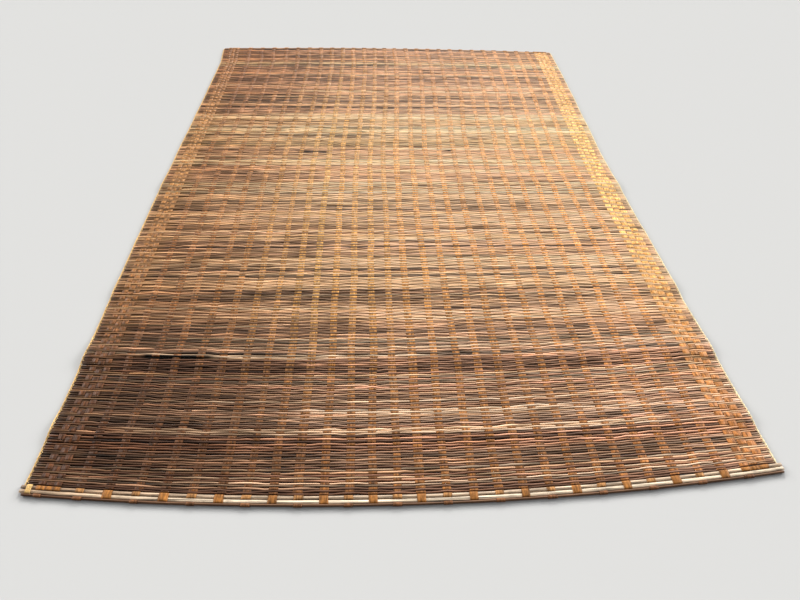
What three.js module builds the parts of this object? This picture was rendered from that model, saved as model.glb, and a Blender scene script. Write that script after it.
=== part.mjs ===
// A floor mat of brown reeds, woven crosswise through strips of orange bark that run its length.
// Millimetres. X is across the mat, +Y is its far end, +Z is up, and the floor is at Z = 0.
import * as THREE from 'three';
import { mergeVertices } from 'three/addons/utils/BufferGeometryUtils.js';

// The woven field
const HALF_WIDTH = 908;
const FIELD_NEAR_Y = -1393;
const FIELD_FAR_Y = 1409;
const FIELD_LENGTH = FIELD_FAR_Y - FIELD_NEAR_Y;
const REED_LEVEL = 5.6;
const STRIP_RAISE = 0.7;

// Where the two sides lie at fractions of the length: the mat isn't quite square
const SIDES = [
  { along: 0.0, left: -911, right: 908 },
  { along: 0.15, left: -908, right: 901 },
  { along: 0.25, left: -911, right: 894 },
  { along: 0.35, left: -913, right: 891 },
  { along: 0.43, left: -913, right: 884 },
  { along: 0.58, left: -909, right: 879 },
  { along: 0.7, left: -903, right: 885 },
  { along: 0.8, left: -900, right: 891 },
  { along: 0.92, left: -897, right: 894 },
  { along: 1.0, left: -911, right: 893 },
];

// How the crosswise reeds bend in plan, at the sides against the middle
const NEAR_BOW = 35;
const NEAR_BOW_FADES = [0.12, 0.34];
const RIM_BOW = 21;
const RIM_BOW_REACH = 0.02;
const FAR_BOW = -29;
const FAR_BOW_STARTS = 0.8;
const NEAR_LEAN = 9;
const FAR_LEAN = -33;

// The bark strips of the field stand wider apart in the left half, and drift to the right
// over the far half
const STRIPS = 26;
const STRIP_WIDTH = 18;
const STRIP_FIRST_X = -777;
const STRIP_PITCH = 61.8;
const STRIP_SPREAD = 22;
const STRIP_BEVEL = 1;
const STRIP_DRIFT = 13;
const STRIP_DRIFTS = [0.55, 0.9];

// Three strips lie close together along each side
const BORDERS = [
  { firstX: -872, pitch: 19.3, width: 18 },
  { firstX: 826, pitch: 24, width: 22.6 },
];
const BORDER_STRIPS = 3;

// Low ripples left from rolling: the crest's distance along, its heights at the two sides,
// and how far it slopes down towards the near end and the far end
const RIPPLES = [
  { crest: 168, left: 5, right: 5, nearSlope: 50, farSlope: 95 },
  { crest: 430, left: 8, right: 5, nearSlope: 60, farSlope: 110 },
  { crest: 738, left: 3, right: 4, nearSlope: 70, farSlope: 120 },
  { crest: 1365, left: 3, right: 4, nearSlope: 60, farSlope: 110 },
];
const PLAIN_ROWS = [0, 40, 1000, 1180, 1700, 2000, 2250, 2500, 2680];
const UNDERSIDE_COLUMNS = 10;

// The near end: two split canes side by side, then a round rod
const CANE_WIDTH = 9.5;
const CANE_HEIGHT = 5;
const ROD_DIAMETER = 6;
const CANE_OVERHANG = { left: 10, right: 13 };
const ROD_OVERHANG = { left: 2, right: 9 };
const CLEARANCE = 0.5;
const BARK = 0.7;
const WRAP_ROOM = CLEARANCE + BARK + CLEARANCE;
const BINDING_X = -897;
const BINDING_WIDTH = 14;

// The far end and the sides
const FAR_ROD_DIAMETER = 6;
const FAR_ROD_OVERHANG = { left: -2, right: -2 };
const CORD_DIAMETER = 4.4;
const CORD_Z = 2.9;
const END_STEPS = 28;

const MATERIALS = {
  reed: new THREE.MeshStandardMaterial({ color: 0x8f6a4c, roughness: 0.62, metalness: 0 }),
  bark: new THREE.MeshStandardMaterial({ color: 0xb4702f, roughness: 0.55, metalness: 0 }),
  cane: new THREE.MeshStandardMaterial({ color: 0xcbb083, roughness: 0.45, metalness: 0 }),
  fibre: new THREE.MeshStandardMaterial({ color: 0xcfbd86, roughness: 0.8, metalness: 0 }),
};

const { lerp, smoothstep } = THREE.MathUtils;

// The mat's outline

function sideX(side, along) {
  const next = SIDES.findIndex((row) => row.along >= along);
  const b = SIDES[Math.max(next, 1)];
  const a = SIDES[Math.max(next, 1) - 1];
  return lerp(a[side], b[side], smoothstep(along, a.along, b.along));
}

// x and y of a point of the field: across runs from -1 to 1 and along from 0 to 1
function plan(across, along) {
  const x = lerp(sideX('left', along), sideX('right', along), (across + 1) / 2);
  const bow = NEAR_BOW * (1 - smoothstep(along, ...NEAR_BOW_FADES))
    + RIM_BOW * Math.exp(-along / RIM_BOW_REACH)
    + FAR_BOW * smoothstep(along, FAR_BOW_STARTS, 1);
  const lean = lerp(NEAR_LEAN, FAR_LEAN, along);
  const y = FIELD_NEAR_Y + FIELD_LENGTH * along + bow * across * across + lean * across;
  return [x, y];
}

// How far a ripple lifts the mat off the floor
function lift(across, distance) {
  let height = 0;
  for (const ripple of RIPPLES) {
    const away = distance - ripple.crest;
    const slope = away < 0 ? ripple.nearSlope : ripple.farSlope;
    const share = 1 - smoothstep(Math.abs(away), 0, slope);
    height += share * lerp(ripple.left, ripple.right, (across + 1) / 2);
  }
  return height;
}

// The woven body: one sheet, its bark strips raised in the upper face

function stripCentre(index) {
  const crowd = Math.min(index, STRIPS / 2) / (STRIPS / 2);
  return STRIP_FIRST_X + STRIP_PITCH * index + STRIP_SPREAD * Math.sin(Math.PI * crowd);
}

function stripTable() {
  const strips = [];
  for (let i = 0; i < STRIPS; i += 1) {
    strips.push({ x: stripCentre(i), width: STRIP_WIDTH, drift: STRIP_DRIFT });
  }
  for (const border of BORDERS) {
    for (let i = 0; i < BORDER_STRIPS; i += 1) {
      strips.push({ x: border.firstX + border.pitch * i, width: border.width, drift: 0 });
    }
  }
  return strips.sort((a, b) => a.x - b.x);
}

function upperColumns() {
  const columns = [{ x: -HALF_WIDTH, raise: 0, drift: 0 }];
  for (const { x, width, drift } of stripTable()) {
    const half = width / 2;
    columns.push({ x: x - half, raise: 0, drift });
    columns.push({ x: x - half + STRIP_BEVEL, raise: STRIP_RAISE, drift });
    columns.push({ x: x + half - STRIP_BEVEL, raise: STRIP_RAISE, drift });
    columns.push({ x: x + half, raise: 0, drift });
  }
  columns.push({ x: HALF_WIDTH, raise: 0, drift: 0 });
  return columns;
}

function lowerColumns() {
  const columns = [];
  for (let i = 0; i <= UNDERSIDE_COLUMNS; i += 1) {
    columns.push({ x: HALF_WIDTH * ((2 * i) / UNDERSIDE_COLUMNS - 1), raise: 0, drift: 0 });
  }
  return columns;
}

function rowDistances() {
  const rows = [...PLAIN_ROWS, FIELD_LENGTH];
  for (const { crest, nearSlope, farSlope } of RIPPLES) {
    rows.push(crest - nearSlope, crest, crest + farSlope);
  }
  return rows.sort((a, b) => a - b);
}

// Adds a grid of points to the list and gives back their numbers, row by row
function addGrid(points, columns, rows, level) {
  return rows.map((distance) => columns.map((column) => {
    const along = distance / FIELD_LENGTH;
    const across = (column.x + column.drift * smoothstep(along, ...STRIP_DRIFTS)) / HALF_WIDTH;
    const [x, y] = plan(across, along);
    points.push(x, y, level + column.raise + lift(across, distance));
    return points.length / 3 - 1;
  }));
}

function addFaces(faces, grid, flipped) {
  for (let r = 0; r < grid.length - 1; r += 1) {
    for (let c = 0; c < grid[r].length - 1; c += 1) {
      const [a, b] = [grid[r][c], grid[r][c + 1]];
      const [d, e] = [grid[r + 1][c], grid[r + 1][c + 1]];
      faces.push(...(flipped ? [a, e, b, a, d, e] : [a, b, e, a, e, d]));
    }
  }
}

// Closes the gap between an upper and a lower edge that have different numbers of points
function addWall(faces, upper, lower, keyOf, flipped) {
  let u = 0;
  let l = 0;
  while (u < upper.length - 1 || l < lower.length - 1) {
    const upperNext = u < upper.length - 1 ? keyOf(upper[u + 1]) : Infinity;
    const lowerNext = l < lower.length - 1 ? keyOf(lower[l + 1]) : Infinity;
    const stepUpper = upperNext <= lowerNext;
    const third = stepUpper ? upper[u + 1] : lower[l + 1];
    faces.push(...(flipped ? [upper[u], third, lower[l]] : [upper[u], lower[l], third]));
    if (stepUpper) {
      u += 1;
    } else {
      l += 1;
    }
  }
}

function wovenBody() {
  const points = [];
  const faces = [];
  const rows = rowDistances();
  const upper = addGrid(points, upperColumns(), rows, REED_LEVEL);
  const lower = addGrid(points, lowerColumns(), rows, 0);
  addFaces(faces, upper, false);
  addFaces(faces, lower, true);
  const xOf = (index) => points[3 * index];
  const yOf = (index) => points[3 * index + 1];
  const edge = (grid, column) => grid.map((row) => row.at(column));
  addWall(faces, upper[0], lower[0], xOf, false);
  addWall(faces, upper.at(-1), lower.at(-1), xOf, true);
  addWall(faces, edge(upper, 0), edge(lower, 0), yOf, true);
  addWall(faces, edge(upper, -1), edge(lower, -1), yOf, false);
  const geometry = new THREE.BufferGeometry();
  geometry.setAttribute('position', new THREE.Float32BufferAttribute(points, 3));
  geometry.setIndex(faces);
  return geometry;
}

// Rods, canes and cords

// A path of straight stretches from point to point, at even shares of its parameter
class PointPath extends THREE.Curve {
  constructor(points) {
    super();
    this.points = points;
  }

  getPoint(share) {
    const place = share * (this.points.length - 1);
    const i = Math.min(Math.floor(place), this.points.length - 2);
    return this.points[i].clone().lerp(this.points[i + 1], place - i);
  }

  getPointAt(share) {
    return this.getPoint(share);
  }

  getTangentAt(share) {
    return this.getTangent(share);
  }
}

function alongEnd(along, offset, overhang, z) {
  const points = [];
  const first = -1 - overhang.left / HALF_WIDTH;
  const last = 1 + overhang.right / HALF_WIDTH;
  for (let i = 0; i <= END_STEPS; i += 1) {
    const [x, y] = plan(lerp(first, last, i / END_STEPS), along);
    points.push(new THREE.Vector3(x, y + offset, z));
  }
  return points;
}

function alongSide(across, offset) {
  return rowDistances().map((distance) => {
    const [x, y] = plan(across, distance / FIELD_LENGTH);
    return new THREE.Vector3(x + offset, y, CORD_Z + lift(across, distance));
  });
}

function sweep(section, points) {
  const extrudePath = new PointPath(points);
  const geometry = new THREE.ExtrudeGeometry(section, { steps: points.length - 1, extrudePath });
  geometry.deleteAttribute('normal');
  geometry.deleteAttribute('uv');
  return mergeVertices(geometry, 1e-4);
}

function roundSection(diameter, sides) {
  const points = [];
  for (let i = 0; i < sides; i += 1) {
    const angle = (2 * Math.PI * (i + 0.5)) / sides;
    points.push(new THREE.Vector2(Math.cos(angle), Math.sin(angle)).multiplyScalar(diameter / 2));
  }
  return new THREE.Shape(points);
}

// A split cane is flat below and rounded above. The section's x points down.
function caneSection() {
  const half = CANE_WIDTH / 2;
  const down = CANE_HEIGHT / 2;
  return new THREE.Shape([
    new THREE.Vector2(down, -half * 0.7),
    new THREE.Vector2(down, half * 0.7),
    new THREE.Vector2(down * 0.3, half),
    new THREE.Vector2(-down * 0.3, half),
    new THREE.Vector2(-down, half * 0.5),
    new THREE.Vector2(-down, -half * 0.5),
    new THREE.Vector2(-down * 0.3, -half),
    new THREE.Vector2(down * 0.3, -half),
  ]);
}

// Distances of the end pieces' middles from the field's near edge
const BACK_CANE_Y = -(WRAP_ROOM + CANE_WIDTH / 2);
const FRONT_CANE_Y = BACK_CANE_Y - CANE_WIDTH - WRAP_ROOM;
const ROD_Y = FRONT_CANE_Y - CANE_WIDTH / 2 - WRAP_ROOM - ROD_DIAMETER / 2;
const CANE_Z = BARK + CLEARANCE + CANE_HEIGHT / 2;
const ROD_Z = BARK + CLEARANCE + ROD_DIAMETER / 2;

// A flat band bent round what it ties: a rounded loop, as long along x as the strip is wide
function bandLoop(innerWidth, innerHeight, bandWidth) {
  const loop = (width, height) => {
    const corner = height / 4;
    const [w, h] = [width / 2, height / 2];
    return [
      [w - corner, -h], [w, -h + corner], [w, h - corner], [w - corner, h],
      [-w + corner, h], [-w, h - corner], [-w, -h + corner], [-w + corner, -h],
    ].map(([y, z]) => new THREE.Vector2(y, z));
  };
  const shape = new THREE.Shape(loop(innerWidth + 2 * BARK, innerHeight + 2 * BARK));
  shape.holes.push(new THREE.Path(loop(innerWidth, innerHeight)));
  const geometry = new THREE.ExtrudeGeometry(shape, { depth: bandWidth, bevelEnabled: false });
  geometry.translate(0, 0, -bandWidth / 2);
  geometry.rotateX(Math.PI / 2);
  geometry.rotateZ(Math.PI / 2);
  geometry.deleteAttribute('normal');
  geometry.deleteAttribute('uv');
  return mergeVertices(geometry, 1e-4);
}

const mat = new THREE.Group();

function addPiece(name, geometry, material) {
  const mesh = new THREE.Mesh(geometry, MATERIALS[material]);
  mesh.name = name;
  mat.add(mesh);
  return mesh;
}

// A band round one or more pieces of the near end, square to their bow at x
function addBand(name, material, { x, offset, z, width, height, bandWidth }) {
  const loop = bandLoop(width + 2 * CLEARANCE, height + 2 * CLEARANCE, bandWidth);
  const mesh = addPiece(name, loop, material);
  const ahead = 1;
  const here = plan(x / HALF_WIDTH, 0);
  const next = plan((x + ahead) / HALF_WIDTH, 0);
  mesh.position.set(here[0], here[1] + offset, z);
  mesh.rotation.z = Math.atan2(next[1] - here[1], next[0] - here[0]);
}

addPiece('woven_body', wovenBody(), 'reed');

for (const [side, across] of [['left', -1], ['right', 1]]) {
  const path = alongSide(across, across * (CLEARANCE + CORD_DIAMETER / 2));
  addPiece(`edge_cord_${side}`, sweep(roundSection(CORD_DIAMETER, 6), path), 'fibre');
}

const backCane = alongEnd(0, BACK_CANE_Y, CANE_OVERHANG, CANE_Z);
const frontCane = alongEnd(0, FRONT_CANE_Y, CANE_OVERHANG, CANE_Z);
const nearRod = alongEnd(0, ROD_Y, ROD_OVERHANG, ROD_Z);
const farRodY = CLEARANCE + FAR_ROD_DIAMETER / 2;
const farRod = alongEnd(1, farRodY, FAR_ROD_OVERHANG, FAR_ROD_DIAMETER / 2);
addPiece('cane_back', sweep(caneSection(), backCane), 'cane');
addPiece('cane_front', sweep(caneSection(), frontCane), 'cane');
addPiece('rod_near', sweep(roundSection(ROD_DIAMETER, 8), nearRod), 'reed');
addPiece('rod_far', sweep(roundSection(FAR_ROD_DIAMETER, 8), farRod), 'reed');

// Every second strip ends round both canes, and the others round the back cane and the rod
const bothCanes = {
  offset: (BACK_CANE_Y + FRONT_CANE_Y) / 2,
  z: CANE_Z,
  width: 2 * CANE_WIDTH + WRAP_ROOM,
  height: CANE_HEIGHT,
};
const backCaneAlone = { offset: BACK_CANE_Y, z: CANE_Z, width: CANE_WIDTH, height: CANE_HEIGHT };
const rodAlone = { offset: ROD_Y, z: ROD_Z, width: ROD_DIAMETER, height: ROD_DIAMETER };
for (let i = 0; i < STRIPS; i += 1) {
  const number = String(i + 1).padStart(2, '0');
  const strip = { x: stripCentre(i), bandWidth: STRIP_WIDTH };
  if (i % 2 === 1) {
    addBand(`wrap_full_${number}`, 'bark', { ...bothCanes, ...strip });
  } else {
    addBand(`wrap_back_${number}`, 'bark', { ...backCaneAlone, ...strip });
    addBand(`wrap_rod_${number}`, 'bark', { ...rodAlone, ...strip });
  }
}

// The border strips end round the back cane. One on each side is tied to the rod as well.
BORDERS.forEach(({ firstX, pitch, width }, border) => {
  for (let i = 0; i < BORDER_STRIPS; i += 1) {
    const number = String(border * BORDER_STRIPS + i + 1).padStart(2, '0');
    const strip = { x: firstX + pitch * i, bandWidth: width };
    addBand(`wrap_side_${number}`, 'bark', { ...backCaneAlone, ...strip });
    if (i === 0) {
      addBand(`wrap_side_rod_${number}`, 'bark', { ...rodAlone, ...strip });
    }
  }
});

addBand('corner_binding', 'fibre', { ...bothCanes, x: BINDING_X, bandWidth: BINDING_WIDTH });

export default mat;
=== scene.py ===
import math

import bpy
import numpy as np
from mathutils import Matrix, Vector


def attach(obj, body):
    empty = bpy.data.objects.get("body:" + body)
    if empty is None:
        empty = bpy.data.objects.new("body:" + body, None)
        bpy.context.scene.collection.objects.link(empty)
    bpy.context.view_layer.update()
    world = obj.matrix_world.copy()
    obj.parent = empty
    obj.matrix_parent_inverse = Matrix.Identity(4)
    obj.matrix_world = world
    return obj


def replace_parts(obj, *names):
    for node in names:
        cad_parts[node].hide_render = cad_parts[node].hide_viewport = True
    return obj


# A floor mat of brown reeds, woven crosswise through strips of orange bark that run its length.
# Lengths are in millimetres up to add_mesh(), which turns them into metres.

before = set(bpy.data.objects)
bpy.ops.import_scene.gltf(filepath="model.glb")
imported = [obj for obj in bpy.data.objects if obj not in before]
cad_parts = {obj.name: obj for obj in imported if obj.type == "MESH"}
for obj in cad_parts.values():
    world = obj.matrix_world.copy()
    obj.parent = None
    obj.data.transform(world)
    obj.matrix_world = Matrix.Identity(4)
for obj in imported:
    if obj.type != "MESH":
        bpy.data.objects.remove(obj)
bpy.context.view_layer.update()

MM = 0.001

# The mat's outline, as in the solids

HALF_WIDTH = 908
FIELD_NEAR_Y = -1393
FIELD_FAR_Y = 1409
FIELD_LENGTH = FIELD_FAR_Y - FIELD_NEAR_Y

# The sides: share of the length, x of the left side, x of the right side
SIDES = (
    (0.0, -911, 908),
    (0.15, -908, 901),
    (0.25, -911, 894),
    (0.35, -913, 891),
    (0.43, -913, 884),
    (0.58, -909, 879),
    (0.7, -903, 885),
    (0.8, -900, 891),
    (0.92, -897, 894),
    (1.0, -911, 893),
)
# How far the near and far ends bow, and how far the field leans there, both along y
NEAR_BOW = 35
NEAR_BOW_FADES = (0.12, 0.34)
RIM_BOW = 21
RIM_BOW_REACH = 0.02
FAR_BOW = -29
FAR_BOW_STARTS = 0.8
NEAR_LEAN = 9
FAR_LEAN = -33

# Ripples: distance of the crest from the near edge, height at the left and at the right, and
# length of the slope towards the near end and towards the far end
RIPPLES = (
    (168, 5, 5, 50, 95),
    (430, 8, 5, 60, 110),
    (738, 3, 4, 70, 120),
    (1365, 3, 4, 60, 110),
)


def smooth(value, start, end):
    """0 before the start and 1 after the end, with a soft rise between them."""
    t = np.clip((value - start) / (end - start), 0, 1)
    return t * t * (3 - 2 * t)


def side_x(column, along):
    """x of one side of the mat."""
    x = np.full_like(along, SIDES[0][column])
    for a, b in zip(SIDES, SIDES[1:]):
        x = x + (b[column] - a[column]) * smooth(along, a[0], b[0])
    return x


def plan(across, along):
    """x and y of points of the field: across runs from -1 to 1 and along from 0 to 1."""
    across, along = np.broadcast_arrays(np.asarray(across, float), np.asarray(along, float))
    left, right = side_x(1, along), side_x(2, along)
    x = left + (right - left) * (across + 1) / 2
    bow = (
        NEAR_BOW * (1 - smooth(along, *NEAR_BOW_FADES))
        + RIM_BOW * np.exp(-np.maximum(along, 0) / RIM_BOW_REACH)
        + FAR_BOW * smooth(along, FAR_BOW_STARTS, 1)
    )
    lean = NEAR_LEAN + (FAR_LEAN - NEAR_LEAN) * along
    y = FIELD_NEAR_Y + FIELD_LENGTH * along + bow * across**2 + lean * across
    return x, y


def lift(across, distance):
    """How far the ripples lift the mat off the floor."""
    height = 0
    for crest, left, right, near_slope, far_slope in RIPPLES:
        away = distance - crest
        slope = np.where(away < 0, near_slope, far_slope)
        share = 1 - smooth(np.abs(away) / slope, 0, 1)
        height = height + share * (left + (right - left) * (across + 1) / 2)
    return height


# The weave

REEDS = 386
REED_Z = 3.35
REED_FACE = 2.3  # from a reed's middle to its flat top
REED_WAVE = 0.5  # how far a reed rises over a strip and dips under the next
# A reed's section, from the far flank over the top and back underneath: y and z as shares of
# its half width and face height. It is pressed flat below.
REED_SECTION = np.array([(1, 0), (0.5, 1), (-0.38, 1), (-1, -0.1), (-1.08, -0.85), (1.08, -0.85)])
REED_SIDES = len(REED_SECTION)
# Painted shade darkens a reed's flanks and underside, where little light falls
FLANK_PAINTED_SHADE = (0.30, 0.24, 0.19)
UNDER_PAINTED_SHADE = (0.10, 0.07, 0.05)
REED_SHADES = np.array([FLANK_PAINTED_SHADE, (1, 1, 1), (1, 1, 1), FLANK_PAINTED_SHADE, UNDER_PAINTED_SHADE, UNDER_PAINTED_SHADE])
PALE_REED_LESS_SHADE = 0.8  # how much of that painted shade is left off the palest reeds
# How reeds vary: share of the even spacing, share of that room that is filled, and height
REED_ROOM = (0.88, 1.12)
REED_FILL = (0.72, 0.92)
REED_HEIGHT = (0.93, 1.04)
BARK = 0.65  # thickness of the bark
NARROWEST_GAP, WIDEST_GAP = -0.35, 3.0
SETTLE_ROUNDS = 30
SETTLE_SHARE = 0.4  # how much of a wrong gap each of two reeds makes up for in a round
THINNER_ON_TOP = 0.06
LENS = 0.85  # how far neighbouring reeds part behind each patch of bark

STRIPS = 26
STRIP_WIDTH = 19.2
STRIP_FIRST_X = -777
STRIP_PITCH = 61.8
STRIP_SPREAD = 22  # the strips of the left half lie up to this much further right
STRIP_DRIFT = 13  # the field's strips run to the right by this, between these shares of the length
STRIP_DRIFTS = (0.55, 0.9)
# Border strips: first x, pitch, width
BORDERS = ((-872, 19.3, 17.2), (826, 24, 21.4))
BORDER_STRIPS = 3
# How many reeds each border strip's pattern is moved by, from left to right
BORDER_STEPS = ((0, 1, 0), (0, 1, 2))
EDGE_RING = 18  # every reed also has a ring this far from each side
WIDE_ROOM, WIDE_ROOM_RINGS = 45, 3  # strips further apart than this have extra rings between them


def strip_table():
    """x, width, drift and whether it is a border strip, from left to right."""
    rows = []
    for i in range(STRIPS):
        crowd = min(i, STRIPS / 2) / (STRIPS / 2)
        x = STRIP_FIRST_X + STRIP_PITCH * i + STRIP_SPREAD * math.sin(math.pi * crowd)
        rows.append((x, STRIP_WIDTH, STRIP_DRIFT, 0))
    for first_x, pitch, width in BORDERS:
        rows += [(first_x + pitch * i, width, 0, 1) for i in range(BORDER_STRIPS)]
    return np.array(sorted(rows))


STRIP_TABLE = strip_table()
STRIP_X, IS_BORDER = STRIP_TABLE[:, 0], STRIP_TABLE[:, 3]


def ring_columns():
    """Places across at which every reed has a ring: at each strip, and between the strips."""
    x, drift = [-HALF_WIDTH, EDGE_RING - HALF_WIDTH], [0, 0]
    for a, b in zip(STRIP_TABLE, STRIP_TABLE[1:]):
        steps = WIDE_ROOM_RINGS if b[0] - a[0] > WIDE_ROOM else 1
        for i in range(steps):
            x.append(a[0] + (b[0] - a[0]) * i / steps)
            drift.append(a[2] + (b[2] - a[2]) * i / steps)
    x += [STRIP_X[-1], HALF_WIDTH - EDGE_RING, HALF_WIDTH]
    return np.array(x), np.array(drift + [0, 0, 0])


RING_X, RING_DRIFT = ring_columns()
STRIP_RINGS = np.array([int(np.argmin(abs(RING_X - x))) for x in STRIP_X])


def reed_rows():
    """Distance from the near edge, half width and face height of every reed."""
    rng = np.random.default_rng(11)
    room = rng.uniform(*REED_ROOM, REEDS)
    room *= FIELD_LENGTH / room.sum()
    distance = np.cumsum(room) - room / 2
    half = room / 2 * rng.uniform(*REED_FILL, REEDS)
    face = REED_FACE * rng.uniform(*REED_HEIGHT, REEDS)
    return distance, half, face


DISTANCE, REED_HALF, REED_TOP = reed_rows()
ALONG = DISTANCE / FIELD_LENGTH


def over_table():
    """1 where a strip passes over a reed and -1 where it passes under, reed by strip."""
    reed = np.arange(REEDS)[:, None]
    strip = np.arange(len(STRIP_TABLE))[None, :]
    step = np.zeros(len(STRIP_TABLE), int)
    step[:BORDER_STRIPS], step[-BORDER_STRIPS:] = BORDER_STEPS
    single = (reed + strip) % 2
    double = (reed + step) // 2 % 2
    return np.where(np.where(IS_BORDER == 1, double, single) == 0, 1, -1)


OVER = over_table()
# The same at every ring, and 0 at the sides
WAVE = np.array([np.interp(RING_X, STRIP_X, row, 0, 0) for row in OVER])
FROM_EDGE = HALF_WIDTH - np.abs(RING_X)


def row_at(distance):
    """The reed nearest to a distance from the near edge."""
    return int(np.argmin(abs(DISTANCE - distance)))


def stretch(start, end, outside, inside):
    """1 at the rings between two places across, with soft ends, and 0 at the others."""
    rise = smooth(RING_X, start - outside, start + inside)
    return rise * (1 - smooth(RING_X, end - inside, end + outside))


def wander(rng, rows, x, spacing, amount):
    """Random values, row by place across, that change smoothly over the spacing."""
    knots = int((x.max() - x.min()) / spacing) + 3
    values = rng.normal(0, amount, (rows, knots))
    place = (x - x.min()) / spacing + 0.5
    i = place.astype(int)
    t = smooth(place - i, 0, 1)
    return values[:, i] * (1 - t) + values[:, i + 1] * t


def cloud(rng, across, along, amount):
    """Random values, reed by ring, that change smoothly both across and along the mat."""
    coarse = wander(rng, int(FIELD_LENGTH / along) + 2, RING_X, across, amount)
    place = DISTANCE / along
    i = place.astype(int)
    t = smooth(place - i, 0, 1)[:, None]
    return coarse[i] * (1 - t) + coarse[i + 1] * t


# Single reeds that stand out: distance, from x, to x, rise
LIFTED = ((436, -821, -503, 2.6), (428, -821, -503, -1.4), (172, -60, 210, 1.2), (1385, 40, 260, 1.2))
LIFTED_ENDS = (40, 60)
# Places where a reed is broken out, lowered and coloured near black as painted shadow in the hole:
# distance, from x, to x
SLITS = ((1632, -381, -343), (1632, -323, -283), (1646, 240, 252), (428, -740, -560))
SLIT_ENDS = (16, 0)
SLIT_DROP = 0.5
# How reeds wander: spacing along the reed, amount
BENDS = ((62, 0.9), (240, 0.5))
SHARED_BEND = (60, 0.9)
SHARED_BY = 9  # reeds from one knot of the shared bend to the next
FIELD_EDGE = (20, 110)  # this near to the sides, the weave bends the reeds less
RISES = (62, 0.25)
LOWEST_RISE, HIGHEST_RISE = -0.3, 0.6
SWELLS = ((150, 0.05), (45, 0.05))
TAPER = 0.06
THINNEST, THICKEST = 0.7, 1.2


def settle(shift, half):
    """Moves neighbouring reeds until they neither overlap nor leave a wide gap."""
    y = DISTANCE[:, None] + shift
    for _ in range(SETTLE_ROUNDS):
        gap = np.diff(y - half, axis=0) - 2 * half[:-1]
        excess = np.clip(gap - WIDEST_GAP, 0, None) - np.clip(NARROWEST_GAP - gap, 0, None)
        y[:-1] += excess * SETTLE_SHARE
        y[1:] -= excess * SETTLE_SHARE
    return y - DISTANCE[:, None]


def reed_lines():
    """y offset, z and thickness of every reed at every ring."""
    rng = np.random.default_rng(23)
    shift = wander(rng, REEDS, RING_X, *BENDS[0]) + wander(rng, REEDS, RING_X, *BENDS[1])
    knots = DISTANCE[::SHARED_BY]
    shared = wander(rng, len(RING_X), knots, *SHARED_BEND)
    band = np.array([np.interp(DISTANCE, knots, row) for row in shared]).T
    field = smooth(FROM_EDGE, *FIELD_EDGE)
    shift = shift + band * field - LENS * WAVE * field
    rises = np.clip(wander(rng, REEDS, RING_X, *RISES), LOWEST_RISE, HIGHEST_RISE)
    z = REED_Z - REED_WAVE * WAVE + rises
    thick = 1 + wander(rng, REEDS, RING_X, *SWELLS[0]) + wander(rng, REEDS, RING_X, *SWELLS[1])
    thick += np.outer(rng.choice([-1, 1], REEDS), RING_X / HALF_WIDTH) * TAPER
    thick = np.clip(thick - THINNER_ON_TOP * WAVE * field, THINNEST, THICKEST)
    shift = settle(shift, REED_HALF[:, None] * thick)
    for distance, start, end, rise in LIFTED:
        z[row_at(distance)] += rise * stretch(start, end, *LIFTED_ENDS)
    for distance, start, end in SLITS:
        z[row_at(distance)] -= SLIT_DROP * stretch(start, end, *SLIT_ENDS)
    return shift, z, thick


REED_SHIFT, REED_LINE_Z, REED_THICK = reed_lines()


def across_of(x, drift, along):
    """A place across for plan(), from x at the near end and how far it drifts beyond it."""
    return (x + drift * smooth(along, *STRIP_DRIFTS)) / HALF_WIDTH


# Colours, picked and then tuned until the picture's tones came near the photo's

def linear(red, green, blue):
    """A colour picked on screen, as light."""
    c = np.array([red, green, blue]) / 255
    return np.where(c <= 0.04045, c / 12.92, ((c + 0.055) / 1.055) ** 2.4)


UMBER = linear(186, 138, 104)
BROWN = linear(202, 158, 121)
ROSE = linear(226, 176, 137)
TAN = linear(238, 192, 150)
HONEY = linear(248, 200, 150)
STRAW = linear(255, 222, 180)
BARK_ORANGE = linear(208, 148, 88)
BARK_GOLD = linear(226, 178, 112)
BARK_RED = linear(204, 136, 86)
BARK_BROWN = linear(186, 136, 90)
CANE_PALE = linear(210, 190, 164)
CANE_PINK = linear(194, 168, 140)
FIBRE_PALE = linear(246, 228, 182)
FIBRE_GOLD = linear(240, 200, 132)

# Bands of reeds of one colour: where each starts, from the near edge
BANDS = (
    (0, UMBER), (60, BROWN), (118, UMBER), (176, TAN), (250, BROWN), (345, UMBER), (428, TAN),
    (500, BROWN), (590, TAN), (672, BROWN), (735, TAN), (930, ROSE), (990, TAN), (1060, BROWN),
    (1090, TAN), (1310, STRAW), (1345, BROWN), (1385, ROSE), (1540, STRAW), (1592, ROSE),
    (1672, HONEY), (1820, STRAW), (1850, HONEY), (1930, STRAW), (1975, TAN), (2030, ROSE),
    (2060, TAN), (2140, ROSE), (2550, STRAW), (2600, TAN), (2645, ROSE),
)
# Single reeds that are paler or darker than their band: distance, colour
LINES = (
    (18, TAN), (96, TAN), (172, STRAW), (238, STRAW), (262, UMBER), (318, UMBER), (436, STRAW),
    (447, STRAW), (512, STRAW), (575, UMBER), (606, STRAW), (628, STRAW), (655, STRAW),
    (792, STRAW), (838, UMBER), (905, STRAW), (948, UMBER), (1008, STRAW), (1072, UMBER),
    (1120, STRAW), (1188, UMBER), (1240, STRAW), (1322, STRAW), (1362, UMBER), (1430, UMBER),
    (1610, UMBER), (1742, STRAW), (1790, TAN), (1905, TAN), (2042, STRAW), (2118, UMBER),
    (2170, STRAW), (2235, STRAW), (2262, BROWN), (2290, STRAW), (2370, BROWN), (2455, TAN),
    (2520, BROWN), (2768, BROWN),
)
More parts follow.
